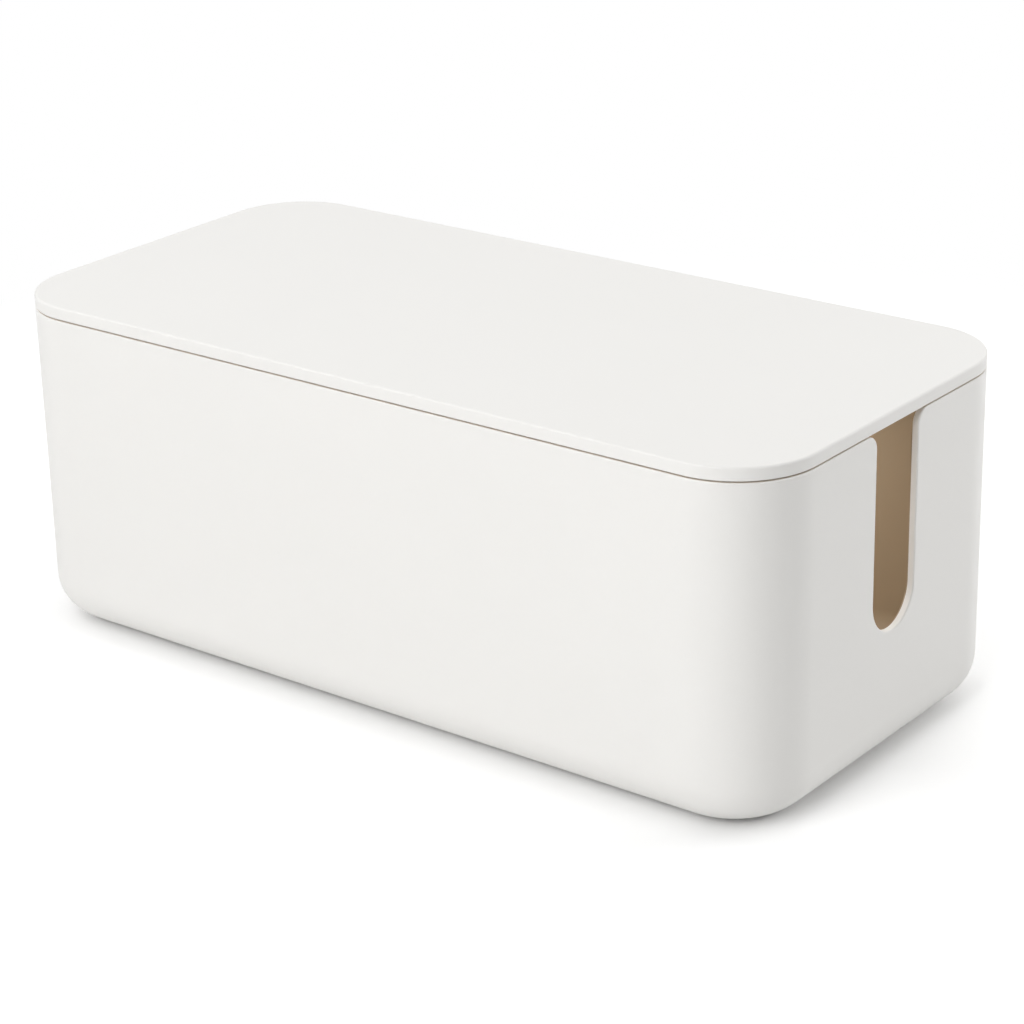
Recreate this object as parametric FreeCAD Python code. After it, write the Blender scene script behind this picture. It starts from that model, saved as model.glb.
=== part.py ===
"""Cable management box: a moulded case with a cable slot in each end, a tan liner inside it,
a lift-off lid and four rubber feet.

Millimetres. +Z is up, X runs along the box, and the cable slots are in the two ends.
The origin is on the surface that the feet stand on, under the middle of the box.
"""

import math
import os

import FreeCAD
import Part

# Driving sizes of the whole box
BOX_LENGTH = 400.0
BOX_WIDTH = 192.0
CASE_HEIGHT = 147.2
CORNER_RADIUS = 36.0
BASE_EDGE_RADIUS = 20.0

# Case
CASE_WALL = 3.0
CASE_FLOOR = 3.0
RIM_EDGE_BREAK = 0.8

# Cable slots, one in each end
SLOT_WIDTH = 31.0
SLOT_DEPTH = 88.0
SLOT_SHOULDER_RADIUS = 6.5

# Liner, which drops into the case and stands on its floor
LINER_WALL = 1.8
LINER_FLOOR = 1.8
LINER_CLEARANCE = 0.3
LINER_SLOT_MARGIN = 2.5

# Lid, whose rim rests on the liner's upper edge
LID_EDGE_HEIGHT = 5.6
LID_PLATE = 3.0
LID_TOP_ROUND = 1.6
LID_LOWER_CHAMFER = 0.4
SHADOW_GAP = 0.6
LID_RIM_CLEARANCE = 0.5
LID_RIM_THICKNESS = 2.0
LID_RIM_DEPTH = 8.0
LID_RIM_LEAD = 0.5
LID_RIM_END_ROUND = 0.8
LID_RIM_SLOT_MARGIN = 3.0

# Ribs under the lid's plate
RIB_THICKNESS = 1.6
CROSS_RIB_COUNT = 5
CROSS_RIB_PITCH = 64.0
LONG_RIB_COUNT = 2
LONG_RIB_PITCH = 60.0

# Feet, seated in round recesses under the case
FOOT_RADIUS = 9.0
FOOT_STAND = 1.0
FOOT_RECESS_DEPTH = 1.2
FOOT_RECESS_CLEARANCE = 0.2
FOOT_INSET_LENGTH = 42.0
FOOT_INSET_WIDTH = 42.0
FOOT_CHAMFER = 0.5

# Heights worked out from the sizes
CASE_BASE_Z = FOOT_STAND
CASE_FLOOR_Z = CASE_BASE_Z + CASE_FLOOR
CASE_RIM_Z = CASE_BASE_Z + CASE_HEIGHT
LID_EDGE_Z = CASE_RIM_Z + SHADOW_GAP
LID_TOP_Z = LID_EDGE_Z + LID_EDGE_HEIGHT
LID_PLATE_Z = LID_TOP_Z - LID_PLATE
LID_RIM_Z = LID_EDGE_Z - LID_RIM_DEPTH
LINER_TOP_Z = LID_RIM_Z
SLOT_RADIUS = SLOT_WIDTH / 2
SLOT_CENTRE_Z = CASE_RIM_Z - SLOT_DEPTH + SLOT_RADIUS

# Distances in from the outer face of the case
LINER_INSET = CASE_WALL + LINER_CLEARANCE
LID_RIM_INSET = CASE_WALL + LID_RIM_CLEARANCE
LID_BORDER = LID_RIM_INSET + LID_RIM_THICKNESS

# Radii of the lower edges, each inside the one before
CAVITY_EDGE_RADIUS = BASE_EDGE_RADIUS - CASE_WALL
LINER_CAVITY_EDGE_RADIUS = CAVITY_EDGE_RADIUS - LINER_WALL

OVERCUT = 5.0
TOUCH = 1e-3


def outline(inset, z):
    """The box's plan at height z as a closed wire, drawn in by inset, with concentric corners."""
    half_length = BOX_LENGTH / 2 - inset
    half_width = BOX_WIDTH / 2 - inset
    radius = CORNER_RADIUS - inset
    slant = radius * (1 - math.sqrt(0.5))
    corners = []
    for sx, sy in ((1, 1), (-1, 1), (-1, -1), (1, -1)):
        on_end = FreeCAD.Vector(sx * half_length, sy * (half_width - radius), z)
        middle = FreeCAD.Vector(sx * (half_length - slant), sy * (half_width - slant), z)
        on_side = FreeCAD.Vector(sx * (half_length - radius), sy * half_width, z)
        points = (on_end, middle, on_side) if sx * sy > 0 else (on_side, middle, on_end)
        corners.append(points)
    edges = []
    for index, points in enumerate(corners):
        next_start = corners[(index + 1) % len(corners)][0]
        edges.append(Part.Arc(*points).toShape())
        edges.append(Part.LineSegment(points[-1], next_start).toShape())
    return Part.Wire(edges)


def block(inset, low, high):
    """A block with upright sides on the box's plan, drawn in by inset."""
    return Part.Face(outline(inset, low)).extrude(FreeCAD.Vector(0, 0, high - low))


def edges_at(shape, z):
    """The edges of shape that lie flat at height z."""
    return [
        edge
        for edge in shape.Edges
        if all(abs(point.z - z) < TOUCH for point in edge.discretize(3))
    ]


def tub(inset, low, high, edge_radius):
    """A block with a rounded lower edge: the outside of a tub, or the space in one."""
    form = block(inset, low, high)
    return form.makeFillet(edge_radius, edges_at(form, low))


def slot_cutter(margin, rim_z):
    """A prism through both ends in the shape of a cable slot, wider by margin, which opens at rim_z."""
    radius = SLOT_RADIUS + margin
    shoulder = SLOT_SHOULDER_RADIUS
    slant = shoulder * (1 - math.sqrt(0.5))
    shoulder_z = rim_z - shoulder
    above = rim_z + OVERCUT
    reach = BOX_LENGTH / 2 + OVERCUT

    def at(y, z):
        return FreeCAD.Vector(-reach, y, z)

    sides = [
        Part.LineSegment(at(-radius, shoulder_z), at(-radius, SLOT_CENTRE_Z)),
        Part.Arc(at(-radius, SLOT_CENTRE_Z), at(0, SLOT_CENTRE_Z - radius), at(radius, SLOT_CENTRE_Z)),
        Part.LineSegment(at(radius, SLOT_CENTRE_Z), at(radius, shoulder_z)),
        Part.Arc(at(radius, shoulder_z), at(radius + slant, rim_z - slant), at(radius + shoulder, rim_z)),
        Part.LineSegment(at(radius + shoulder, rim_z), at(radius + shoulder, above)),
        Part.LineSegment(at(radius + shoulder, above), at(-radius - shoulder, above)),
        Part.LineSegment(at(-radius - shoulder, above), at(-radius - shoulder, rim_z)),
        Part.Arc(at(-radius - shoulder, rim_z), at(-radius - slant, rim_z - slant), at(-radius, shoulder_z)),
    ]
    profile = Part.Face(Part.Wire([side.toShape() for side in sides]))
    return profile.extrude(FreeCAD.Vector(2 * reach, 0, 0))


def outer_rim_edges(shell):
    """The unbroken line of edges on the outside of the case, along its rim and down round its slots."""
    faces = block(0, CASE_BASE_Z, CASE_RIM_Z).Faces
    skin = Part.Compound([face for face in faces if face.BoundBox.ZLength > TOUCH])
    slot_reach = SLOT_RADIUS + SLOT_SHOULDER_RADIUS + TOUCH
    lowest = SLOT_CENTRE_Z - SLOT_RADIUS - TOUCH
    chain = []
    for edge in shell.Edges:
        points = edge.discretize(3)
        on_rim = all(abs(point.z - CASE_RIM_Z) < TOUCH for point in points)
        round_slot = all(abs(point.y) < slot_reach and point.z > lowest for point in points)
        if (on_rim or round_slot) and skin.distToShape(Part.Vertex(points[1]))[0] < TOUCH:
            chain.append(edge)
    return chain


def foot_places():
    """The four feet by name, each with its place under the case."""
    x = BOX_LENGTH / 2 - FOOT_INSET_LENGTH
    y = BOX_WIDTH / 2 - FOOT_INSET_WIDTH
    return {
        "foot_front_left": (-x, -y),
        "foot_front_right": (x, -y),
        "foot_back_left": (-x, y),
        "foot_back_right": (x, y),
    }


def evenly_spaced(count, pitch):
    """Positions at a steady pitch, centred on zero."""
    return [pitch * (index - (count - 1) / 2) for index in range(count)]


def case_shell():
    """The outer case, with its cable slots, broken edges and the recesses for the feet."""
    outside = tub(0, CASE_BASE_Z, CASE_RIM_Z, BASE_EDGE_RADIUS)
    inside = tub(CASE_WALL, CASE_FLOOR_Z, CASE_RIM_Z, CAVITY_EDGE_RADIUS)
    shell = outside.cut(inside).cut(slot_cutter(0, CASE_RIM_Z))
    shell = shell.makeChamfer(RIM_EDGE_BREAK, outer_rim_edges(shell))
    recess_radius = FOOT_RADIUS + FOOT_RECESS_CLEARANCE
    for x, y in foot_places().values():
        place = FreeCAD.Vector(x, y, CASE_BASE_Z)
        shell = shell.cut(Part.makeCylinder(recess_radius, FOOT_RECESS_DEPTH, place))
    return shell


def inner_liner():
    """The tan liner, parallel to the case, with slots that stay out of sight behind those of the case."""
    outside = tub(LINER_INSET, CASE_FLOOR_Z, LINER_TOP_Z, CAVITY_EDGE_RADIUS)
    inside = tub(
        LINER_INSET + LINER_WALL, CASE_FLOOR_Z + LINER_FLOOR, LINER_TOP_Z, LINER_CAVITY_EDGE_RADIUS
    )
    return outside.cut(inside).cut(slot_cutter(LINER_SLOT_MARGIN, LINER_TOP_Z))


def lid_ribs():
    """The stiffening ribs, from the underside of the plate down to the level of the lid's edge."""
    depth = LID_PLATE_Z - LID_EDGE_Z
    start = FreeCAD.Vector(-BOX_LENGTH / 2, -BOX_WIDTH / 2, LID_EDGE_Z)
    ribs = []
    for x in evenly_spaced(CROSS_RIB_COUNT, CROSS_RIB_PITCH):
        corner = FreeCAD.Vector(x - RIB_THICKNESS / 2, start.y, start.z)
        ribs.append(Part.makeBox(RIB_THICKNESS, BOX_WIDTH, depth, corner))
    for y in evenly_spaced(LONG_RIB_COUNT, LONG_RIB_PITCH):
        corner = FreeCAD.Vector(start.x, y - RIB_THICKNESS / 2, start.z)
        ribs.append(Part.makeBox(BOX_LENGTH, RIB_THICKNESS, depth, corner))
    return ribs[0].fuse(ribs[1:])


def lid():
    """The lid: a plate with a rounded edge, a rim that locates it in the case, and ribs underneath."""
    plate = block(0, LID_EDGE_Z, LID_TOP_Z)
    plate = plate.makeFillet(LID_TOP_ROUND, edges_at(plate, LID_TOP_Z))
    plate = plate.makeChamfer(LID_LOWER_CHAMFER, edges_at(plate, LID_EDGE_Z))

    rim = block(LID_RIM_INSET, LID_RIM_Z, LID_EDGE_Z)
    rim = rim.makeChamfer(LID_RIM_LEAD, edges_at(rim, LID_RIM_Z))
    hollow = block(LID_BORDER, LID_RIM_Z, LID_PLATE_Z)
    half_gap = SLOT_RADIUS + LID_RIM_SLOT_MARGIN
    cable_gap = Part.makeBox(
        BOX_LENGTH, 2 * half_gap, LID_RIM_DEPTH, FreeCAD.Vector(-BOX_LENGTH / 2, -half_gap, LID_RIM_Z)
    )
    rim = rim.cut(hollow).cut(cable_gap)
    rim_ends = [
        edge
        for edge in rim.Edges
        if abs(abs(edge.CenterOfMass.y) - half_gap) < TOUCH and edge.BoundBox.ZLength > LID_RIM_DEPTH / 2
    ]
    rim = rim.makeFillet(LID_RIM_END_ROUND, rim_ends)

    ribs = lid_ribs().common(hollow)
    return plate.cut(hollow).fuse([rim, ribs]).removeSplitter()


def foot(x, y):
    """A rubber disc with its lower edge broken."""
    disc = Part.makeCylinder(FOOT_RADIUS, FOOT_RECESS_DEPTH + FOOT_STAND, FreeCAD.Vector(x, y, 0))
    return disc.makeChamfer(FOOT_CHAMFER, edges_at(disc, 0))


def single_solid(shape):
    """The one solid that a shape holds."""
    return shape.Solids[0] if len(shape.Solids) == 1 else shape


def build():
    """Every piece of the box, by name."""
    pieces = {"case_shell": case_shell(), "inner_liner": inner_liner(), "lid": lid()}
    for name, (x, y) in foot_places().items():
        pieces[name] = foot(x, y)
    return pieces


os.makedirs("parts", exist_ok=True)
for piece_name, piece_shape in build().items():
    solid = single_solid(piece_shape)
    solid.exportStep(f"parts/{piece_name}.step")
    print(piece_name, solid.ShapeType, solid.isValid(), round(solid.Volume), len(solid.Faces))
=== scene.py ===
"""Looks of the cable management box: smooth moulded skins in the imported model's frame, their
finishes, the photograph's camera and its soft light. Metres, +Z up."""

import math
from dataclasses import dataclass

import bpy
from mathutils import Matrix, Vector
from mathutils.geometry import tessellate_polygon


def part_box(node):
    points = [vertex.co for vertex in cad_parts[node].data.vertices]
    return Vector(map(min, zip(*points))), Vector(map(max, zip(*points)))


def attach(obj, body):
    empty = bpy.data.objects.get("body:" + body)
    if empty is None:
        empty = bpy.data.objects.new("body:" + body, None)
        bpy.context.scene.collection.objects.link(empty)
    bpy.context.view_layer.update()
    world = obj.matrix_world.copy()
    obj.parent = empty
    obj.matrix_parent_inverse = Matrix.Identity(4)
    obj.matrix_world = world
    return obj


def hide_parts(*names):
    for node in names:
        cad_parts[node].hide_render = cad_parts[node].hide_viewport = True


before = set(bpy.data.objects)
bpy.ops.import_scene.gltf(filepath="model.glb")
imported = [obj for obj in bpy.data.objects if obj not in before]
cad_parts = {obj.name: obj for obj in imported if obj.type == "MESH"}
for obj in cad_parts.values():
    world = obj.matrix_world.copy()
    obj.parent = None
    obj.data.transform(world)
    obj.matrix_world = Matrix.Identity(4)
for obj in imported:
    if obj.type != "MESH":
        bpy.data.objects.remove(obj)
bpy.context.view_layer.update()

MM = 0.001

# Sizes read from the frame
CASE_LOW, CASE_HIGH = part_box("case_shell")
LINER_LOW, LINER_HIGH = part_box("inner_liner")
LID_LOW, LID_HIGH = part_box("lid")
FOOT_LOW, FOOT_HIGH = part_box("foot_front_right")
HALF_LENGTH = CASE_HIGH.x
HALF_WIDTH = CASE_HIGH.y
FOOT_RADIUS = (FOOT_HIGH.x - FOOT_LOW.x) / 2
FOOT_HEIGHT = FOOT_HIGH.z - FOOT_LOW.z
FOOT_X = (FOOT_HIGH.x + FOOT_LOW.x) / 2
FOOT_Y = -(FOOT_HIGH.y + FOOT_LOW.y) / 2
BOX_MIDDLE = Vector((0.0, 0.0, LID_HIGH.z / 2))

# Plan and walls
CORNER_RADIUS = 36.0 * MM
CORNER_CENTRE_X = HALF_LENGTH - CORNER_RADIUS
CORNER_CENTRE_Y = HALF_WIDTH - CORNER_RADIUS
CASE_WALL = 3.0 * MM
LINER_WALL = 1.8 * MM
LINER_INSET = CASE_HIGH.x - LINER_HIGH.x
BASE_EDGE_RADIUS = 20.0 * MM
CAVITY_EDGE_RADIUS = BASE_EDGE_RADIUS - CASE_WALL
LINER_CAVITY_EDGE_RADIUS = CAVITY_EDGE_RADIUS - LINER_WALL

# Cable slots; the liner's are wider than the case's by a margin on each side
SLOT_HALF_WIDTH = 15.5 * MM
SLOT_DEPTH = 88.0 * MM
SLOT_SHOULDER = 6.5 * MM
SLOT_CENTRE_Z = CASE_HIGH.z - SLOT_DEPTH + SLOT_HALF_WIDTH
LINER_SLOT_MARGIN = 3.0 * MM

# Rounded edges of the case, the liner and the feet
RIM_OUTER_ROUND = 0.7 * MM
RIM_INNER_ROUND = 0.5 * MM
LINER_ROUND = 0.4 * MM
FOOT_ROUND = 0.7 * MM

# Recesses that the feet sit in
RECESS_CLEARANCE = 0.2 * MM
RECESS_DEPTH = 1.2 * MM

# Lid: a plate with a thicker border, and a rim under it that stops on both sides of each slot
LID_EDGE_HEIGHT = 5.6 * MM
LID_PLATE = 3.0 * MM
LID_EDGE_Z = LID_HIGH.z - LID_EDGE_HEIGHT
LID_PLATE_Z = LID_HIGH.z - LID_PLATE
LID_TOP_ROUND = 1.1 * MM
LID_LOWER_ROUND = 0.4 * MM
LID_RIM_INSET = 3.5 * MM
LID_RIM_THICKNESS = 2.0 * MM
LID_RIM_HALF_GAP = 23.5 * MM
LID_RIM_ROUND = 0.5 * MM
LID_BORDER = LID_RIM_INSET + LID_RIM_THICKNESS

# Ribs under the lid; the root is how far they and the rim run into what carries them
RIB_THICKNESS = 1.6 * MM
RIB_ROUND = 0.35 * MM
RIB_ROOT = 0.4 * MM
CROSS_RIBS = 5
CROSS_RIB_PITCH = 64.0 * MM
LONG_RIBS = 2
LONG_RIB_PITCH = 60.0 * MM

# How finely rounds are divided, and which edges are rounded or stay sharp
CORNER_STEPS = 32
BASE_EDGE_STEPS = 16
SLOT_FOOT_STEPS = 20
SHOULDER_STEPS = 10
ROUND_STEPS = 6
SMALL_ROUND_STEPS = 3
DISC_STEPS = 64
ROUNDED_ABOVE = math.radians(40)
SHARP_ABOVE = math.radians(35)
MERGE_DISTANCE = 1e-6

# Camera of the photograph: where it stands round the box, and where the box's middle lies in the frame
VIEW_TURN = math.radians(38.09)
VIEW_RISE = math.radians(22.02)
VIEW_ROLL = math.radians(-1.31)
VIEW_DISTANCE = 1.2873
VIEW_LIMIT = 100.0
LENS = 103.96
SENSOR = 36.0
FRAME_PIXELS = 1024
BOX_MIDDLE_PIXEL = (496.06, 484.99)

# Sky and soft lamps: where each lamp shines from, the level that it gives a surface facing it, and its
# size. The low lamps would show as bright patches in the gloss of the lid, so they are left out of it
SKY_LIGHT = 0.13
SKY_SEEN = 1.0
LAMP_DISTANCE = 2.4
LOWEST_SHINE = 0.5
LAMPS = {
    "front_high_lamp": ((0.0, -0.7, 0.7), 0.385, 1.8),
    "front_low_lamp": ((-0.03, -0.92, 0.4), 0.302, 1.3),
    "left_lamp": ((-0.7, 0.0, 0.7), 0.24, 1.8),
    "overhead_lamp": ((0.0, 0.02, 1.0), 0.15, 2.2),
    "back_lamp": ((0.0, 0.7, 0.7), 0.13, 1.8),
    "back_right_lamp": ((0.54, 0.85, 0.3), 0.58, 1.5),
}
INSIDE_LAMP_POWER = 0.41
INSIDE_LAMP_LENGTH = HALF_LENGTH * 1.5
INSIDE_LAMP_WIDTH = HALF_WIDTH * 1.1
INSIDE_LAMP_Z = LINER_HIGH.z - 2 * MM

# Floor: the bounce light that it gives, and the tone that it is seen in. Each change of tone runs
# between two distances, from one factor to another: close to the case and near it a painted shadow,
# behind it painted light that thins the lit shadow, and far off whiter. White takes over between the
# last two distances
FLOOR_RADIUS = 9.0
FLOOR_BOUNCE = 0.88
FLOOR_CONTACT_SHADOW = (2 * MM, 8 * MM, 0.75, 1.0)
FLOOR_NEAR_SHADOW = (9 * MM, 30 * MM, 0.92, 1.0)
FLOOR_BEHIND_LIGHT = (0.0, 80 * MM, 1.13, 1.3)
FLOOR_FAR = (0.26, 1.2, 1.0, 1.4)
FLOOR_WHITE = (0.32, 0.6)

# Mould grain: a coarse pattern, a finer one of less height, and a slow wave under both
FINE_GRAIN_SCALE = 2.6
FINE_GRAIN_SHARE = 0.45
SLOW_WAVE_SCALE = 0.06

# Unevenness of colour and gloss: large patches and small flecks
FLECK_SCALE = 60.0
PATCH_SHARE = 0.7
FLECK_SHARE = 0.3

# Dust and painted shade at the seam, a brownish darkening of level faces beside it: how it fades
# over its reach, and how level a face is that holds it
SEAM_DUST_AND_SHADE_COLOR = (0.6, 0.46, 0.32, 1.0)
SEAM_DUST_AND_SHADE_REACH = 0.4 * MM
SEAM_DUST_AND_SHADE_FADE = (1.0, 0.5)
SEAM_DUST_AND_SHADE_LEVEL = (0.8, 0.99)
CASE_SEAM_DUST_AND_SHADE = 0.5
LID_SEAM_DUST_AND_SHADE = 0.35


@dataclass
class Finish:
    """A moulded finish: its colour and gloss, how far they vary, and the grain of its mould."""

    color: tuple
    roughness: float
    tone_spread: float
    grain_scale: float
    grain_depth: float


PLASTIC_IOR = 1.49
WHITE = (0.875, 0.864, 0.838)
# The liner's tan is painted shade: the warm shade inside the box, given as the liner's colour.
LINER_SHADE_TAN = (0.345, 0.268, 0.182)
GREY = (0.3, 0.3, 0.29)
CASE_FINISH = Finish(WHITE, roughness=0.4, tone_spread=0.012, grain_scale=1900.0, grain_depth=0.02 * MM)
LID_FINISH = Finish(WHITE, roughness=0.36, tone_spread=0.012, grain_scale=2100.0, grain_depth=0.02 * MM)
LINER_SHADE_TAN_FINISH = Finish(LINER_SHADE_TAN, roughness=0.6, tone_spread=0.03, grain_scale=1500.0, grain_depth=0.03 * MM)
FOOT_FINISH = Finish(GREY, roughness=0.75, tone_spread=0.06, grain_scale=2600.0, grain_depth=0.04 * MM)


def link(obj):
    """Adds an object to the scene."""
    bpy.context.scene.collection.objects.link(obj)
    return obj


class Skin:
    """The faces of one piece, gathered with the true normal at each corner, so that wide flats stay
    flat and rounds shade as rounds."""

    def __init__(self):
        self.numbers = {}
        self.points = []
        self.faces = []
        self.normals = []

    def vertex(self, point):
        """The number of the vertex at point, which is shared by all faces that meet there."""
        key = tuple(round(value / MERGE_DISTANCE) for value in point)
        if key not in self.numbers:
            self.numbers[key] = len(self.points)
            self.points.append(tuple(point))
        return self.numbers[key]

    def face(self, corners):
        """A face from its corners, each a point and a normal, anticlockwise from outside."""
        numbers = []
        normals = []
        for point, normal in corners:
            number = self.vertex(point)
            if number not in numbers:
                numbers.append(number)
                normals.append(normal)
        if len(numbers) > 2:
            self.faces.append(numbers)
            self.normals.extend(normals)

    def sheet(self, rows, closed):
        """Quads between rows of corners. Each row runs anticlockwise round the box from above."""
        for row, next_row in zip(rows, rows[1:]):
            count = len(row)
            for index in range(count if closed else count - 1):
                after = (index + 1) % count
                self.face([row[index], row[after], next_row[after], next_row[index]])

    def cap(self, loops, up):
        """A level face inside the first loop of points and outside the others, facing up or down."""
        points = [Vector(point) for loop in loops for point in loop]
        normal = (0.0, 0.0, 1.0 if up else -1.0)
        outlines = [[Vector(point) for point in loop] for loop in loops]
        for triangle in tessellate_polygon(outlines):
            a, b, c = (points[index] for index in triangle)
            if ((b - a).cross(c - a).z > 0) != up:
                b, c = c, b
            self.face([(a, normal), (b, normal), (c, normal)])

    def piece(self, name, material):
        """The piece as an object at the origin, with its place in its mesh."""
        mesh = bpy.data.meshes.new(name)
        mesh.from_pydata(self.points, [], self.faces)
        mesh.shade_smooth()
        mesh.normals_split_custom_set(self.normals)
        mesh.materials.append(material)
        return link(bpy.data.objects.new(name, mesh))


# The box's plan: stations round it, each a corner's centre and the outward direction from it


def corner(centre_x, centre_y, start):
    """The stations round one corner of the plan, from an outward direction on by a quarter turn."""
    stations = []
    for step in range(CORNER_STEPS + 1):
        angle = start + math.pi / 2 * step / CORNER_STEPS
        stations.append((centre_x, centre_y, math.cos(angle), math.sin(angle)))
    return stations


BACK_HALF = corner(CORNER_CENTRE_X, CORNER_CENTRE_Y, 0)
BACK_HALF += corner(-CORNER_CENTRE_X, CORNER_CENTRE_Y, math.pi / 2)
FRONT_HALF = corner(-CORNER_CENTRE_X, -CORNER_CENTRE_Y, math.pi)
FRONT_HALF += corner(CORNER_CENTRE_X, -CORNER_CENTRE_Y, 3 * math.pi / 2)
HALVES = ((1, BACK_HALF), (-1, FRONT_HALF))
RIGHT_MIDDLE = (CORNER_CENTRE_X, 0.0, 1.0, 0.0)
LEFT_MIDDLE = (-CORNER_CENTRE_X, 0.0, -1.0, 0.0)
WHOLE_RING = [RIGHT_MIDDLE] + BACK_HALF + [LEFT_MIDDLE] + FRONT_HALF


def at_station(station, inset, z, out=0.0, up=0.0):
    """The point at a station, drawn in by inset, and a normal that leans out and up."""
    x, y, dx, dy = station
    reach = CORNER_RADIUS - inset
    return (x + reach * dx, y + reach * dy, z), (out * dx, out * dy, up)


def ring(inset, z, out, up, stations=WHOLE_RING):
    """A row of corners round the plan."""
    return [at_station(station, inset, z, out, up) for station in stations]


def ring_points(inset, z):
    """The points of one ring, without normals."""
    return [point for point, _ in ring(inset, z, 0.0, 0.0)]


def quarter(steps):
    """The cosine and sine at even steps through a quarter turn."""
    return [
        (math.cos(math.pi / 2 * step / steps), math.sin(math.pi / 2 * step / steps))
        for step in range(steps + 1)
    ]


def disc_points(x, y, radius, z):
    """The points of a level circle, anticlockwise from above."""
    turn = 2 * math.pi / DISC_STEPS
    return [
        (x + radius * math.cos(turn * step), y + radius * math.sin(turn * step), z)
        for step in range(DISC_STEPS)
    ]


# Tubs: the case and its liner, each with a slot in both ends


@dataclass
class Tub:
    """The sizes of a tub with a U-shaped slot in each end. The edges are the rounds between walls
    and base, and the rounds are those of the rim and the slots."""

    inset: float
    wall: float
    base_z: float
    floor_z: float
    rim_z: float
    outer_edge: float
    inner_edge: float
    slot_half_width: float
    outer_round: float
    inner_round: float


def slot_side(tub):
    """One side of a slot, from the middle of its foot up and out onto the rim: places across and up
    the end wall, each with the direction into the wall."""
    side = []
    for cos, sin in quarter(SLOT_FOOT_STEPS):
        across = tub.slot_half_width * sin
        z = SLOT_CENTRE_Z - tub.slot_half_width * cos
        side.append((across, z, sin, -cos))
    for cos, sin in quarter(SHOULDER_STEPS):
        across = tub.slot_half_width + SLOT_SHOULDER * (1 - cos)
        z = tub.rim_z - SLOT_SHOULDER * (1 - sin)
        side.append((across, z, cos, -sin))
    return side


def on_end_wall(tub, place, end, half, depth_in, inset, out, edge):
    """A corner on or near a slot's edge. end is 1 for the right end, half is 1 for the back half,
    depth_in goes into the wall from the edge, and the normal leans out of the wall and over the edge."""
    across, z, into_across, into_z = place
    point = (
        end * (HALF_LENGTH - tub.inset - inset),
        half * (across + depth_in * into_across),
        z + depth_in * into_z,
    )
    normal = (end * out, -half * edge * into_across, -edge * into_z)
    return point, normal


def edge_row(tub, depth_in, inset, out, edge):
    """A row all along the tub's edge: up one side of a slot, round the rim, down into the next."""
    side = slot_side(tub)
    row = []
    for half, stations in HALVES:
        row += [on_end_wall(tub, place, half, half, depth_in, inset, out, edge) for place in side]
        row += [
            at_station(station, tub.inset + inset, tub.rim_z - depth_in, out, edge)
            for station in stations
        ]
        row += [
            on_end_wall(tub, place, -half, half, depth_in, inset, out, edge)
            for place in reversed(side)
        ]
    return row


def add_wall(skin, tub, inset, edge_round, low_z, facing):
    """One face of the upright wall, outer (facing 1) or inner (facing -1), up to the rounded edge."""
    for half, stations in HALVES:
        rows = []
        for place in slot_side(tub):
            _, z, _, into_z = place
            middle = ring(tub.inset + inset, z + edge_round * into_z, facing, 0.0, stations)
            right = on_end_wall(tub, place, 1, half, edge_round, inset, facing, 0.0)
            left = on_end_wall(tub, place, -1, half, edge_round, inset, facing, 0.0)
            rows.append([right] + middle + [left] if half > 0 else [left] + middle + [right])
        skin.sheet(rows[::facing], closed=False)
    slot_bottom = SLOT_CENTRE_Z - tub.slot_half_width - edge_round
    rows = [ring(tub.inset + inset, z, facing, 0.0) for z in (low_z, slot_bottom)]
    skin.sheet(rows[::facing], closed=True)


def tub_skin(tub, recesses=()):
    """The closed skin of a tub. A recess in its base is given as x, y, radius and depth."""
    skin = Skin()

    outer_low = tub.base_z + tub.outer_edge
    skin.sheet(
        [
            ring(tub.inset + tub.outer_edge * (1 - sin), outer_low - tub.outer_edge * cos, sin, -cos)
            for cos, sin in quarter(BASE_EDGE_STEPS)
        ],
        closed=True,
    )
    add_wall(skin, tub, 0.0, tub.outer_round, outer_low, 1)

    rounded = []
    for cos, sin in quarter(ROUND_STEPS):
        depth_in = tub.outer_round * (1 - sin)
        rounded.append(edge_row(tub, depth_in, tub.outer_round * (1 - cos), cos, sin))
    for cos, sin in quarter(ROUND_STEPS):
        depth_in = tub.inner_round * (1 - cos)
        rounded.append(edge_row(tub, depth_in, tub.wall - tub.inner_round * (1 - sin), -sin, cos))
    skin.sheet(rounded, closed=True)

    inner_face = tub.inset + tub.wall
    inner_low = tub.floor_z + tub.inner_edge
    add_wall(skin, tub, tub.wall, tub.inner_round, inner_low, -1)
    skin.sheet(
        [
            ring(inner_face + tub.inner_edge * (1 - cos), inner_low - tub.inner_edge * sin, -cos, sin)
            for cos, sin in quarter(BASE_EDGE_STEPS)
        ],
        closed=True,
    )
    skin.cap([ring_points(inner_face + tub.inner_edge, tub.floor_z)], up=True)

    holes = [disc_points(x, y, radius, tub.base_z) for x, y, radius, _ in recesses]
    skin.cap([ring_points(tub.inset + tub.outer_edge, tub.base_z)] + holes, up=False)
    for x, y, radius, depth in recesses:
        add_recess(skin, x, y, radius, tub.base_z, depth)
    return skin


def add_recess(skin, x, y, radius, base_z, depth):
    """A round recess up into the base."""
    rows = []
    for z in (base_z + depth, base_z):
        row = []
        for point in disc_points(x, y, radius, z):
            inwards = ((x - point[0]) / radius, (y - point[1]) / radius, 0.0)
            row.append((point, inwards))
        rows.append(row)
    skin.sheet(rows, closed=True)
    skin.cap([disc_points(x, y, radius, base_z + depth)], up=False)


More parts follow.
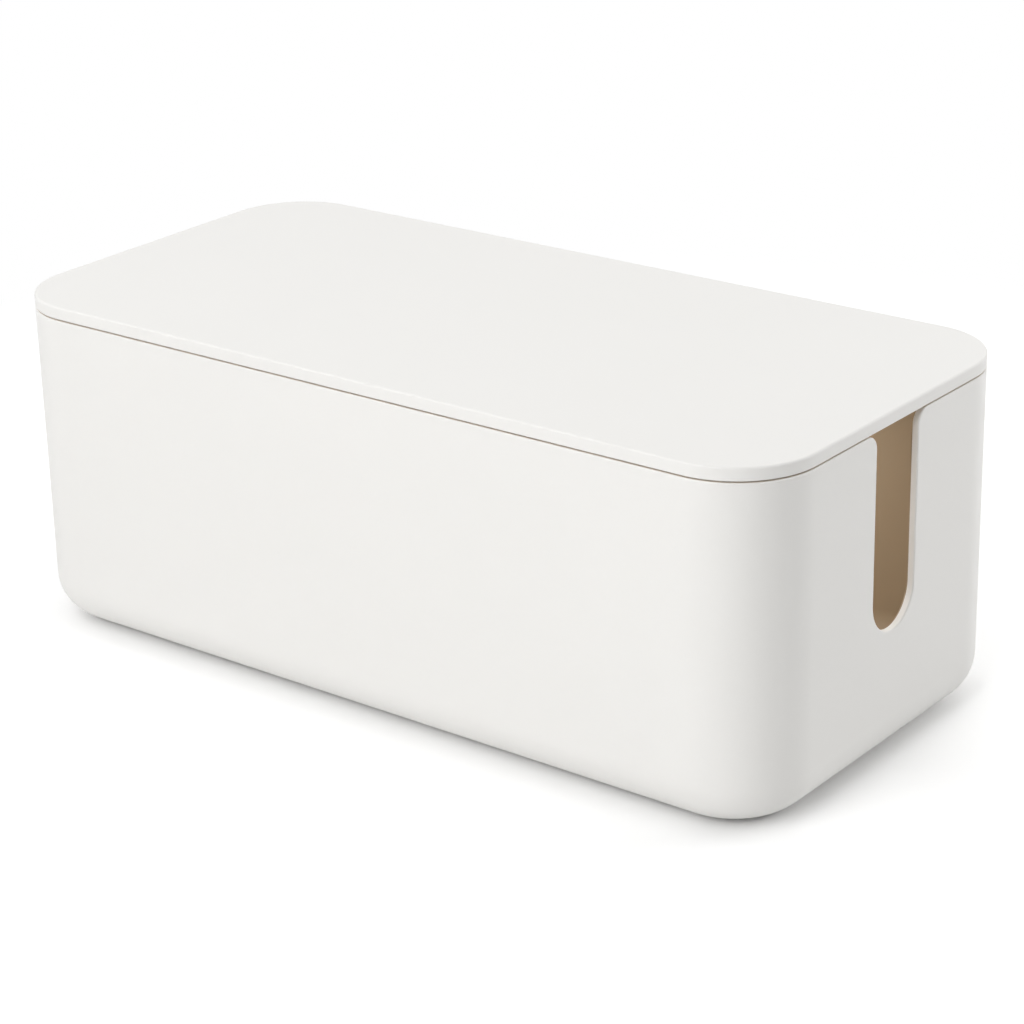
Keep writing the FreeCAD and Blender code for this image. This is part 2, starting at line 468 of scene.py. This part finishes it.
def make_case(material):
    """The white case, with a rounded rim that runs down round both slots."""
    tub = Tub(
        inset=0.0,
        wall=CASE_WALL,
        base_z=CASE_LOW.z,
        floor_z=LINER_LOW.z,
        rim_z=CASE_HIGH.z,
        outer_edge=BASE_EDGE_RADIUS,
        inner_edge=CAVITY_EDGE_RADIUS,
        slot_half_width=SLOT_HALF_WIDTH,
        outer_round=RIM_OUTER_ROUND,
        inner_round=RIM_INNER_ROUND,
    )
    radius = FOOT_RADIUS + RECESS_CLEARANCE
    recesses = [
        (side_x * FOOT_X, side_y * FOOT_Y, radius, RECESS_DEPTH)
        for side_x in (-1, 1)
        for side_y in (-1, 1)
    ]
    case = tub_skin(tub, recesses).piece("case_skin", material)
    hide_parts("case_shell")
    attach(case, "case")


def make_liner(material):
    """The liner inside the case, in a tan that paints the warm shade inside the box."""
    tub = Tub(
        inset=LINER_INSET,
        wall=LINER_WALL,
        base_z=LINER_LOW.z,
        floor_z=LINER_LOW.z + LINER_WALL,
        rim_z=LINER_HIGH.z,
        outer_edge=CAVITY_EDGE_RADIUS,
        inner_edge=LINER_CAVITY_EDGE_RADIUS,
        slot_half_width=SLOT_HALF_WIDTH + LINER_SLOT_MARGIN,
        outer_round=LINER_ROUND,
        inner_round=LINER_ROUND,
    )
    liner = tub_skin(tub).piece("liner_skin", material)
    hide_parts("inner_liner")
    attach(liner, "case")


# Lid and its rim


def lid_section():
    """The lid's plate from its underside, round its border and up over its rounded edge, as insets,
    heights and the way each place faces."""
    low = LID_LOWER_ROUND
    top = LID_TOP_ROUND
    section = [
        (LID_BORDER, LID_PLATE_Z, -1.0, 0.0),
        (LID_BORDER, LID_EDGE_Z, -1.0, 0.0),
        (LID_BORDER, LID_EDGE_Z, 0.0, -1.0),
    ]
    for cos, sin in quarter(ROUND_STEPS):
        section.append((low * (1 - sin), LID_EDGE_Z + low * (1 - cos), sin, -cos))
    for cos, sin in quarter(ROUND_STEPS):
        section.append((top * (1 - cos), LID_HIGH.z - top * (1 - sin), cos, sin))
    return section


def make_lid(material):
    """The lid's plate."""
    skin = Skin()
    skin.sheet([ring(*place) for place in lid_section()], closed=True)
    skin.cap([ring_points(LID_TOP_ROUND, LID_HIGH.z)], up=True)
    skin.cap([ring_points(LID_BORDER, LID_PLATE_Z)], up=False)
    lid = skin.piece("lid_plate", material)
    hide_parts("lid")
    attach(lid, "lid")


def rim_outline(half, stations):
    """The outline of one half of the lid's rim: along its outer face, then back along its inner."""
    starts = (CORNER_CENTRE_X, half * LID_RIM_HALF_GAP, 1.0, 0.0)
    ends = (-CORNER_CENTRE_X, half * LID_RIM_HALF_GAP, -1.0, 0.0)
    line = [starts] + stations + [ends] if half > 0 else [ends] + stations + [starts]
    outline = [at_station(station, LID_RIM_INSET, 0.0)[0] for station in line]
    outline += [at_station(station, LID_BORDER, 0.0)[0] for station in reversed(line)]
    return outline


def rim_mesh():
    """The two halves of the lid's rim, with square edges."""
    points = []
    faces = []
    for half, stations in HALVES:
        outline = rim_outline(half, stations)
        count = len(outline)
        first = len(points)
        points += [(x, y, LID_LOW.z) for x, y, _ in outline]
        points += [(x, y, LID_EDGE_Z + RIB_ROOT) for x, y, _ in outline]
        for index in range(count):
            after = (index + 1) % count
            faces.append((first + index, first + after, first + count + after, first + count + index))
        for index in range(count // 2 - 1):
            opposite = count - 1 - index
            low = (index, opposite, opposite - 1, index + 1)
            faces.append(tuple(first + number for number in low))
            faces.append(tuple(first + count + number for number in reversed(low)))
    mesh = bpy.data.meshes.new("lid_rim")
    mesh.from_pydata(points, [], faces)
    return mesh


def make_lid_rim(material):
    """The rim under the lid, in two halves that leave both cable slots open, with rounded edges."""
    rim = link(bpy.data.objects.new("lid_rim", rim_mesh()))
    rim.data.materials.append(material)
    rim.data.shade_smooth()
    bevel = rim.modifiers.new("rounded_edges", "BEVEL")
    bevel.width = LID_RIM_ROUND
    bevel.segments = SMALL_ROUND_STEPS
    bevel.limit_method = "ANGLE"
    bevel.angle_limit = ROUNDED_ABOVE
    flatten = rim.modifiers.new("even_shading", "WEIGHTED_NORMAL")
    flatten.keep_sharp = True
    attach(rim, "lid")


# Node helpers


def feed(tree, value, socket):
    """Gives a socket a number, or what another socket puts out."""
    if isinstance(value, (int, float)):
        socket.default_value = value
    else:
        tree.links.new(value, socket)


def calculate(tree, operation, first, second=0.0):
    """A Math node on one or two values, each a number or a socket."""
    node = tree.nodes.new("ShaderNodeMath")
    node.operation = operation
    feed(tree, first, node.inputs[0])
    feed(tree, second, node.inputs[1])
    return node.outputs[0]


def combine(tree, x=0.0, y=0.0, z=0.0):
    """A vector from numbers or sockets."""
    node = tree.nodes.new("ShaderNodeCombineXYZ")
    for socket, value in zip(node.inputs, (x, y, z)):
        feed(tree, value, socket)
    return node.outputs[0]


def separate(tree, vector):
    """A vector's parts, as outputs X, Y and Z."""
    node = tree.nodes.new("ShaderNodeSeparateXYZ")
    tree.links.new(vector, node.inputs[0])
    return node.outputs


def measure(tree, vector):
    """The length of a vector."""
    node = tree.nodes.new("ShaderNodeVectorMath")
    node.operation = "LENGTH"
    tree.links.new(vector, node.inputs[0])
    return node.outputs["Value"]


def ramp(tree, value, low_at, high_at, low=0.0, high=1.0):
    """A smooth change from low, where value is low_at, to high, where it is high_at."""
    node = tree.nodes.new("ShaderNodeMapRange")
    node.interpolation_type = "SMOOTHSTEP"
    node.inputs["From Min"].default_value = low_at
    node.inputs["From Max"].default_value = high_at
    node.inputs["To Min"].default_value = low
    node.inputs["To Max"].default_value = high
    tree.links.new(value, node.inputs["Value"])
    return node.outputs["Result"]


def mix_shaders(tree, share, first, second):
    """The first shader, or the second where share is 1."""
    node = tree.nodes.new("ShaderNodeMixShader")
    tree.links.new(share, node.inputs["Fac"])
    tree.links.new(first, node.inputs[1])
    tree.links.new(second, node.inputs[2])
    return node.outputs["Shader"]


def noise(tree, coordinates, scale, detail):
    """A noise pattern on coordinates; its value averages a half."""
    node = tree.nodes.new("ShaderNodeTexNoise")
    node.inputs["Detail"].default_value = detail
    tree.links.new(coordinates, node.inputs["Vector"])
    feed(tree, scale, node.inputs["Scale"])
    return node.outputs["Fac"]


# Pieces that Geometry Nodes lay out


def new_tree(name, inputs):
    """A Geometry Nodes tree with named inputs, and its group input and output nodes."""
    tree = bpy.data.node_groups.new(name, "GeometryNodeTree")
    tree.is_modifier = True
    tree.interface.new_socket("Geometry", in_out="OUTPUT", socket_type="NodeSocketGeometry")
    tree.interface.new_socket("Geometry", in_out="INPUT", socket_type="NodeSocketGeometry")
    for label, kind in inputs:
        tree.interface.new_socket(label, in_out="INPUT", socket_type=kind)
    return tree, tree.nodes.new("NodeGroupInput"), tree.nodes.new("NodeGroupOutput")


def set_inputs(modifier, tree, values):
    """Sets a tree's inputs on a modifier, by the identifiers of their sockets."""
    for item in tree.interface.items_tree:
        if item.item_type == "SOCKET" and item.in_out == "INPUT" and item.name in values:
            modifier[item.identifier] = values[item.name]


def made_plain(name, mesh, tree, values):
    """The plain mesh object that a tree makes out of a mesh."""
    maker = link(bpy.data.objects.new(name + "_maker", mesh))
    modifier = maker.modifiers.new("tree", "NODES")
    modifier.node_group = tree
    set_inputs(modifier, tree, values)
    bpy.context.view_layer.update()
    evaluated = maker.evaluated_get(bpy.context.evaluated_depsgraph_get())
    result = bpy.data.meshes.new_from_object(evaluated)
    maker.modifiers.remove(modifier)
    bpy.data.objects.remove(maker)
    result.name = name
    return link(bpy.data.objects.new(name, result))


def rib_bank(tree, given, kind):
    """The nodes of one bank of parallel ribs, laid across the box; kind is Cross or Long."""
    count = given.outputs[kind + " Count"]
    pitch = given.outputs[kind + " Pitch"]
    half = calculate(tree, "MULTIPLY", given.outputs[kind + " Length"], 0.5)

    line = tree.nodes.new("GeometryNodeCurvePrimitiveLine")
    tree.links.new(combine(tree, y=calculate(tree, "MULTIPLY", half, -1.0)), line.inputs["Start"])
    tree.links.new(combine(tree, y=half), line.inputs["End"])

    section = tree.nodes.new("GeometryNodeCurvePrimitiveQuadrilateral")
    tree.links.new(given.outputs["Thickness"], section.inputs["Width"])
    tree.links.new(given.outputs["Depth"], section.inputs["Height"])
    rounded = tree.nodes.new("GeometryNodeFilletCurve")
    rounded.mode = "POLY"
    rounded.inputs["Count"].default_value = SMALL_ROUND_STEPS
    tree.links.new(section.outputs["Curve"], rounded.inputs["Curve"])
    tree.links.new(given.outputs["Edge Round"], rounded.inputs["Radius"])

    sweep = tree.nodes.new("GeometryNodeCurveToMesh")
    sweep.inputs["Fill Caps"].default_value = True
    tree.links.new(line.outputs["Curve"], sweep.inputs["Curve"])
    tree.links.new(rounded.outputs["Curve"], sweep.inputs["Profile Curve"])

    places = tree.nodes.new("GeometryNodeMeshLine")
    tree.links.new(count, places.inputs["Count"])
    last = calculate(tree, "SUBTRACT", count, 1.0)
    start = calculate(tree, "MULTIPLY", calculate(tree, "MULTIPLY", last, pitch), -0.5)
    tree.links.new(combine(tree, x=start), places.inputs["Start Location"])
    tree.links.new(combine(tree, x=pitch), places.inputs["Offset"])

    laid = tree.nodes.new("GeometryNodeInstanceOnPoints")
    tree.links.new(places.outputs["Mesh"], laid.inputs["Points"])
    tree.links.new(sweep.outputs["Mesh"], laid.inputs["Instance"])
    return laid.outputs["Instances"]


def finish_tree(tree, given, result, geometry):
    """Ends a tree with real geometry that has its material."""
    real = tree.nodes.new("GeometryNodeRealizeInstances")
    finish = tree.nodes.new("GeometryNodeSetMaterial")
    tree.links.new(geometry, real.inputs["Geometry"])
    tree.links.new(real.outputs["Geometry"], finish.inputs["Geometry"])
    tree.links.new(given.outputs["Material"], finish.inputs["Material"])
    tree.links.new(finish.outputs["Geometry"], result.inputs["Geometry"])


def rib_tree():
    """Two banks of ribs that cross under a plate."""
    inputs = [
        (kind + " " + size, socket)
        for kind in ("Cross", "Long")
        for size, socket in (
            ("Count", "NodeSocketInt"),
            ("Pitch", "NodeSocketFloat"),
            ("Length", "NodeSocketFloat"),
        )
    ]
    inputs += [(size, "NodeSocketFloat") for size in ("Thickness", "Depth", "Edge Round", "Level")]
    inputs.append(("Material", "NodeSocketMaterial"))
    tree, given, result = new_tree("crossed_ribs", inputs)

    turn = tree.nodes.new("GeometryNodeTransform")
    turn.inputs["Rotation"].default_value = (0.0, 0.0, math.pi / 2)
    tree.links.new(rib_bank(tree, given, "Long"), turn.inputs["Geometry"])
    both = tree.nodes.new("GeometryNodeJoinGeometry")
    tree.links.new(rib_bank(tree, given, "Cross"), both.inputs["Geometry"])
    tree.links.new(turn.outputs["Geometry"], both.inputs["Geometry"])
    raised = tree.nodes.new("GeometryNodeTransform")
    tree.links.new(combine(tree, z=given.outputs["Level"]), raised.inputs["Translation"])
    tree.links.new(both.outputs["Geometry"], raised.inputs["Geometry"])
    finish_tree(tree, given, result, raised.outputs["Geometry"])
    return tree


def make_lid_ribs(material):
    """The crossed ribs that stiffen the lid, from its plate down to the level of its edge."""
    depth = LID_PLATE_Z - LID_EDGE_Z + RIB_ROOT
    values = {
        "Cross Count": CROSS_RIBS,
        "Cross Pitch": CROSS_RIB_PITCH,
        "Cross Length": 2 * (HALF_WIDTH - LID_BORDER + RIB_ROOT),
        "Long Count": LONG_RIBS,
        "Long Pitch": LONG_RIB_PITCH,
        "Long Length": 2 * (HALF_LENGTH - LID_BORDER + RIB_ROOT),
        "Thickness": RIB_THICKNESS,
        "Depth": depth,
        "Edge Round": RIB_ROUND,
        "Level": LID_EDGE_Z + depth / 2,
        "Material": material,
    }
    ribs = made_plain("lid_ribs", bpy.data.meshes.new("rib_seed"), rib_tree(), values)
    ribs.data.set_sharp_from_angle(angle=SHARP_ABOVE)
    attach(ribs, "lid")


def foot_tree():
    """The piece it is given, set at the four corners of a rectangle."""
    inputs = [(size, "NodeSocketFloat") for size in ("Spacing X", "Spacing Y")]
    inputs.append(("Material", "NodeSocketMaterial"))
    tree, given, result = new_tree("four_feet", inputs)
    corners = tree.nodes.new("GeometryNodeMeshGrid")
    corners.inputs["Vertices X"].default_value = 2
    corners.inputs["Vertices Y"].default_value = 2
    tree.links.new(given.outputs["Spacing X"], corners.inputs["Size X"])
    tree.links.new(given.outputs["Spacing Y"], corners.inputs["Size Y"])
    placed = tree.nodes.new("GeometryNodeInstanceOnPoints")
    tree.links.new(corners.outputs["Mesh"], placed.inputs["Points"])
    tree.links.new(given.outputs["Geometry"], placed.inputs["Instance"])
    finish_tree(tree, given, result, placed.outputs["Instances"])
    return tree


def foot_skin():
    """One rubber foot on the middle of the floor, with a rounded lower edge."""
    skin = Skin()
    section = [
        (FOOT_RADIUS - FOOT_ROUND * (1 - sin), FOOT_ROUND * (1 - cos), sin, -cos)
        for cos, sin in quarter(ROUND_STEPS)
    ]
    section.append((FOOT_RADIUS, FOOT_HEIGHT, 1.0, 0.0))
    rows = []
    for radius, z, out, up in section:
        row = []
        for point in disc_points(0.0, 0.0, radius, z):
            row.append((point, (out * point[0] / radius, out * point[1] / radius, up)))
        rows.append(row)
    skin.sheet(rows, closed=True)
    skin.cap([disc_points(0.0, 0.0, FOOT_RADIUS - FOOT_ROUND, 0.0)], up=False)
    skin.cap([disc_points(0.0, 0.0, FOOT_RADIUS, FOOT_HEIGHT)], up=True)
    return skin


def make_feet(material):
    """Four rubber feet in the recesses under the case."""
    seed = foot_skin().piece("foot_seed", material)
    values = {"Spacing X": 2 * FOOT_X, "Spacing Y": 2 * FOOT_Y, "Material": material}
    feet = made_plain("feet", seed.data, foot_tree(), values)
    bpy.data.objects.remove(seed)
    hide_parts("foot_front_left", "foot_front_right", "foot_back_left", "foot_back_right")
    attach(feet, "case")


# Finishes


def shader_group(name, inputs, outputs):
    """A shader node group with named sockets, and its group input and output nodes."""
    tree = bpy.data.node_groups.new(name, "ShaderNodeTree")
    for label, kind, value in inputs:
        socket = tree.interface.new_socket(label, in_out="INPUT", socket_type=kind)
        if value is not None:
            socket.default_value = value
    for label, kind in outputs:
        tree.interface.new_socket(label, in_out="OUTPUT", socket_type=kind)
    return tree, tree.nodes.new("NodeGroupInput"), tree.nodes.new("NodeGroupOutput")


def eroded_grain_group():
    """The fine, even grain that a spark-eroded mould leaves: its height, over a faint slow waviness."""
    tree, given, result = shader_group(
        "eroded_grain",
        [
            ("Vector", "NodeSocketVector", None),
            ("Grain Scale", "NodeSocketFloat", 1800.0),
            ("Waviness", "NodeSocketFloat", 0.2),
        ],
        [("Height", "NodeSocketFloat")],
    )
    coordinates = given.outputs["Vector"]
    scale = given.outputs["Grain Scale"]
    fine_scale = calculate(tree, "MULTIPLY", scale, FINE_GRAIN_SCALE)
    slow_scale = calculate(tree, "MULTIPLY", scale, SLOW_WAVE_SCALE)
    coarse = noise(tree, coordinates, scale, detail=2.0)
    fine = noise(tree, coordinates, fine_scale, detail=1.0)
    slow = noise(tree, coordinates, slow_scale, detail=2.0)
    grain = calculate(tree, "ADD", coarse, calculate(tree, "MULTIPLY", fine, FINE_GRAIN_SHARE))
    wave = calculate(tree, "MULTIPLY", slow, given.outputs["Waviness"])
    tree.links.new(calculate(tree, "ADD", grain, wave), result.inputs["Height"])
    return tree


def moulded_tone_group():
    """A plastic's colour and gloss with the slow unevenness of a large moulding and fine flecks."""
    tree, given, result = shader_group(
        "moulded_tone",
        [
            ("Vector", "NodeSocketVector", None),
            ("Color", "NodeSocketColor", (0.8, 0.8, 0.8, 1.0)),
            ("Tone Spread", "NodeSocketFloat", 0.02),
            ("Roughness", "NodeSocketFloat", 0.5),
            ("Roughness Spread", "NodeSocketFloat", 0.08),
            ("Patch Scale", "NodeSocketFloat", 14.0),
        ],
        [("Color", "NodeSocketColor"), ("Roughness", "NodeSocketFloat")],
    )
    coordinates = given.outputs["Vector"]
    patch_scale = given.outputs["Patch Scale"]
    fleck_scale = calculate(tree, "MULTIPLY", patch_scale, FLECK_SCALE)
    patches = noise(tree, coordinates, patch_scale, detail=3.0)
    flecks = noise(tree, coordinates, fleck_scale, detail=2.0)
    patches = calculate(tree, "MULTIPLY", patches, PATCH_SHARE)
    flecks = calculate(tree, "MULTIPLY", flecks, FLECK_SHARE)
    both = calculate(tree, "ADD", patches, flecks)
    swing = calculate(tree, "MULTIPLY", calculate(tree, "SUBTRACT", both, 0.5), 2.0)

    tone = calculate(tree, "ADD", calculate(tree, "MULTIPLY", swing, given.outputs["Tone Spread"]), 1.0)
    scaled = tree.nodes.new("ShaderNodeVectorMath")
    scaled.operation = "SCALE"
    tree.links.new(given.outputs["Color"], scaled.inputs[0])
    tree.links.new(tone, scaled.inputs["Scale"])
    tree.links.new(scaled.outputs["Vector"], result.inputs["Color"])

    gloss = calculate(tree, "MULTIPLY", swing, given.outputs["Roughness Spread"])
    tree.links.new(calculate(tree, "ADD", given.outputs["Roughness"], gloss), result.inputs["Roughness"])
    return tree


def seam_dust_and_shade_group():
    """Dust and painted shade on level faces close to a seam, in the piece's own height."""
    tree, given, result = shader_group(
        "seam_dust_and_shade",
        [
            ("Vector", "NodeSocketVector", None),
            ("Color", "NodeSocketColor", (0.8, 0.8, 0.8, 1.0)),
            ("Dust And Shade Color", "NodeSocketColor", SEAM_DUST_AND_SHADE_COLOR),
            ("Amount", "NodeSocketFloat", 0.5),
            ("Seam Height", "NodeSocketFloat", 0.0),
            ("Reach", "NodeSocketFloat", SEAM_DUST_AND_SHADE_REACH),
        ],
        [("Color", "NodeSocketColor")],
    )
    height = separate(tree, given.outputs["Vector"])["Z"]
    off = calculate(tree, "SUBTRACT", height, given.outputs["Seam Height"])
    away = calculate(tree, "DIVIDE", calculate(tree, "ABSOLUTE", off), given.outputs["Reach"])
    close = ramp(tree, away, *SEAM_DUST_AND_SHADE_FADE)
    surface = tree.nodes.new("ShaderNodeNewGeometry")
    upright = separate(tree, surface.outputs["Normal"])["Z"]
    level = ramp(tree, calculate(tree, "ABSOLUTE", upright), *SEAM_DUST_AND_SHADE_LEVEL)
    share = calculate(tree, "MULTIPLY", calculate(tree, "MULTIPLY", close, level), given.outputs["Amount"])
    mix = tree.nodes.new("ShaderNodeMix")
    mix.data_type = "RGBA"
    tree.links.new(share, mix.inputs["Factor"])
    tree.links.new(given.outputs["Color"], mix.inputs["A"])
    tree.links.new(given.outputs["Dust And Shade Color"], mix.inputs["B"])
    tree.links.new(mix.outputs["Result"], result.inputs["Color"])
    return tree


def add_seam_dust_and_shade(material, groups, height, amount):
    """Puts the seam's dust and painted shade between a moulded material's colour and its shader."""
    tree = material.node_tree
    base = tree.nodes["Principled BSDF"].inputs["Base Color"]
    color = base.links[0].from_socket
    dust_and_shade = tree.nodes.new("ShaderNodeGroup")
    dust_and_shade.node_tree = groups["seam"]
    dust_and_shade.inputs["Amount"].default_value = amount
    dust_and_shade.inputs["Seam Height"].default_value = height
    tree.links.new(tree.nodes.new("ShaderNodeTexCoord").outputs["Object"], dust_and_shade.inputs["Vector"])
    tree.links.new(color, dust_and_shade.inputs["Color"])
    tree.links.new(dust_and_shade.outputs["Color"], base)


def moulded_material(name, groups, finish):
    """A moulded finish: colour and gloss from the tone group, a bump from the grain group."""
    material = bpy.data.materials.new(name)
    material.use_nodes = True
    tree = material.node_tree
    shader = tree.nodes["Principled BSDF"]
    shader.inputs["IOR"].default_value = PLASTIC_IOR
    place = tree.nodes.new("ShaderNodeTexCoord").outputs["Object"]

    tone = tree.nodes.new("ShaderNodeGroup")
    tone.node_tree = groups["tone"]
    tone.inputs["Color"].default_value = (*finish.color, 1.0)
    tone.inputs["Roughness"].default_value = finish.roughness
    tone.inputs["Tone Spread"].default_value = finish.tone_spread
    tree.links.new(place, tone.inputs["Vector"])
    tree.links.new(tone.outputs["Color"], shader.inputs["Base Color"])
    tree.links.new(tone.outputs["Roughness"], shader.inputs["Roughness"])

    surface = tree.nodes.new("ShaderNodeGroup")
    surface.node_tree = groups["grain"]
    surface.inputs["Grain Scale"].default_value = finish.grain_scale
    tree.links.new(place, surface.inputs["Vector"])
    bump = tree.nodes.new("ShaderNodeBump")
    bump.inputs["Strength"].default_value = 1.0
    bump.inputs["Distance"].default_value = finish.grain_depth
    tree.links.new(surface.outputs["Height"], bump.inputs["Height"])
    tree.links.new(bump.outputs["Normal"], shader.inputs["Normal"])
    return material


# Surroundings


def floor_painted_shade_and_light(tree, place):
    """How white the floor is seen: a painted shadow, darkest where the case meets it, painted light behind
    it, and whiter far off.
    """
    across = separate(tree, place)
    beyond = []
    for axis, centre in (("X", CORNER_CENTRE_X), ("Y", CORNER_CENTRE_Y)):
        off = calculate(tree, "ABSOLUTE", across[axis])
        beyond.append(calculate(tree, "MAXIMUM", calculate(tree, "SUBTRACT", off, centre), 0.0))
    reach = measure(tree, combine(tree, x=beyond[0], y=beyond[1]))
    away = calculate(tree, "SUBTRACT", reach, CORNER_RADIUS - BASE_EDGE_RADIUS)
    tone = ramp(tree, measure(tree, place), *FLOOR_FAR)
    # Painted shadow close to the case and near it, and painted light behind it.
    for share in (
        ramp(tree, away, *FLOOR_CONTACT_SHADOW),
        ramp(tree, away, *FLOOR_NEAR_SHADOW),
        ramp(tree, across["Y"], *FLOOR_BEHIND_LIGHT),
    ):
        tone = calculate(tree, "MULTIPLY", tone, share)
    return tone


def floor_material():
    """A pale floor that gives plain bounce light, and is seen as white but for the box's shadow, partly
    lit and partly painted.
    """
    material = bpy.data.materials.new("pale_floor")
    material.use_nodes = True
    tree = material.node_tree
    tree.nodes.remove(tree.nodes["Principled BSDF"])
    lit = tree.nodes.new("ShaderNodeBsdfDiffuse")
    lit.inputs["Color"].default_value = (FLOOR_BOUNCE, FLOOR_BOUNCE, FLOOR_BOUNCE, 1.0)
    seen = tree.nodes.new("ShaderNodeBsdfDiffuse")
    place = tree.nodes.new("ShaderNodeTexCoord").outputs["Object"]
    tree.links.new(floor_painted_shade_and_light(tree, place), seen.inputs["Color"])
    white = tree.nodes.new("ShaderNodeEmission")
    far_off = ramp(tree, measure(tree, place), *FLOOR_WHITE)
    path = tree.nodes.new("ShaderNodeLightPath")
    shown = mix_shaders(tree, far_off, seen.outputs["BSDF"], white.outputs["Emission"])
    either = mix_shaders(tree, path.outputs["Is Camera Ray"], lit.outputs["BSDF"], shown)
    tree.links.new(either, tree.nodes["Material Output"].inputs["Surface"])
    return material


def make_floor():
    """The floor under the box."""
    points = disc_points(0.0, 0.0, FLOOR_RADIUS, 0.0)
    mesh = bpy.data.meshes.new("floor")
    mesh.from_pydata(points, [], [tuple(range(len(points)))])
    mesh.materials.append(floor_material())
    link(bpy.data.objects.new("floor", mesh))


def make_world():
    """Even sky light, seen as white by the camera and in gloss."""
    world = bpy.data.worlds.new("studio")
    bpy.context.scene.world = world
    world.use_nodes = True
    tree = world.node_tree
    light = tree.nodes["Background"]
    light.inputs["Color"].default_value = (1.0, 1.0, 1.0, 1.0)
    light.inputs["Strength"].default_value = SKY_LIGHT
    seen = tree.nodes.new("ShaderNodeBackground")
    seen.inputs["Color"].default_value = (1.0, 1.0, 1.0, 1.0)
    seen.inputs["Strength"].default_value = SKY_SEEN
    path = tree.nodes.new("ShaderNodeLightPath")
    either = calculate(tree, "MAXIMUM", path.outputs["Is Glossy Ray"], path.outputs["Is Transmission Ray"])
    shown = calculate(tree, "MAXIMUM", path.outputs["Is Camera Ray"], either)
    sky = mix_shaders(tree, shown, light.outputs["Background"], seen.outputs["Background"])
    tree.links.new(sky, tree.nodes["World Output"].inputs["Surface"])


def set_place(obj, place, right, up, back):
    """Puts a lamp or camera at a place, with the directions to its right, above it and behind it."""
    turn = Matrix((right, up, back)).transposed().to_4x4()
    obj.matrix_world = Matrix.Translation(place) @ turn


def make_lamp(name, shines_from, level, size):
    """A square soft lamp that gives a white surface facing it that level at the box's middle."""
    back = Vector(shines_from).normalized()
    right = Vector((0.0, 0.0, 1.0)).cross(back).normalized()
    light = bpy.data.lights.new(name, "AREA")
    light.size = size
    light.energy = level * math.pi ** 2 * LAMP_DISTANCE ** 2
    lamp = link(bpy.data.objects.new(name, light))
    lamp.visible_camera = False
    lamp.visible_glossy = back.z > LOWEST_SHINE
    set_place(lamp, BOX_MIDDLE + back * LAMP_DISTANCE, right, back.cross(right), back)


def make_inside_lamp():
    """A soft lamp under the closed lid, so that the liner shows its colour through the slots."""
    light = bpy.data.lights.new("inside_lamp", "AREA")
    light.shape = "RECTANGLE"
    light.size = INSIDE_LAMP_LENGTH
    light.size_y = INSIDE_LAMP_WIDTH
    light.energy = INSIDE_LAMP_POWER
    lamp = link(bpy.data.objects.new("inside_lamp", light))
    lamp.location = (0.0, 0.0, INSIDE_LAMP_Z)
    lamp.visible_camera = False
    lamp.visible_glossy = False


def make_camera():
    """The photograph's camera."""
    back = Vector((
        math.sin(VIEW_TURN) * math.cos(VIEW_RISE),
        -math.cos(VIEW_TURN) * math.cos(VIEW_RISE),
        math.sin(VIEW_RISE),
    ))
    level_right = Vector((math.cos(VIEW_TURN), math.sin(VIEW_TURN), 0.0))
    level_up = back.cross(level_right)
    right = level_right * math.cos(VIEW_ROLL) + level_up * math.sin(VIEW_ROLL)
    up = back.cross(right)
    metres_per_pixel = VIEW_DISTANCE * SENSOR / LENS / FRAME_PIXELS
    aside = (FRAME_PIXELS / 2 - BOX_MIDDLE_PIXEL[0]) * metres_per_pixel
    above = (BOX_MIDDLE_PIXEL[1] - FRAME_PIXELS / 2) * metres_per_pixel
    data = bpy.data.cameras.new("photo_camera")
    data.lens = LENS
    data.sensor_width = SENSOR
    data.clip_end = VIEW_LIMIT
    camera = link(bpy.data.objects.new("photo_camera", data))
    place = BOX_MIDDLE + right * aside + up * above + back * VIEW_DISTANCE
    set_place(camera, place, right, up, back)
    bpy.context.scene.camera = camera


# The scene

bpy.context.scene.view_settings.view_transform = "Standard"
make_camera()
make_world()
make_floor()
for lamp_name, (shines_from, level, size) in LAMPS.items():
    make_lamp(lamp_name, shines_from, level, size)
make_inside_lamp()

shared = {"grain": eroded_grain_group(), "tone": moulded_tone_group(), "seam": seam_dust_and_shade_group()}
case_white = moulded_material("case_white", shared, CASE_FINISH)
lid_white = moulded_material("lid_white", shared, LID_FINISH)
# The liner's tan paints the warm shade inside the box.
liner_shade_tan = moulded_material("liner_shade_tan", shared, LINER_SHADE_TAN_FINISH)
foot_rubber = moulded_material("foot_rubber", shared, FOOT_FINISH)
# Dust and painted shade darken the level faces beside the seam between case and lid.
add_seam_dust_and_shade(case_white, shared, CASE_HIGH.z, CASE_SEAM_DUST_AND_SHADE)
add_seam_dust_and_shade(lid_white, shared, LID_EDGE_Z, LID_SEAM_DUST_AND_SHADE)

make_case(case_white)
make_liner(liner_shade_tan)
make_lid(lid_white)
make_lid_rim(lid_white)
make_lid_ribs(lid_white)
make_feet(foot_rubber)
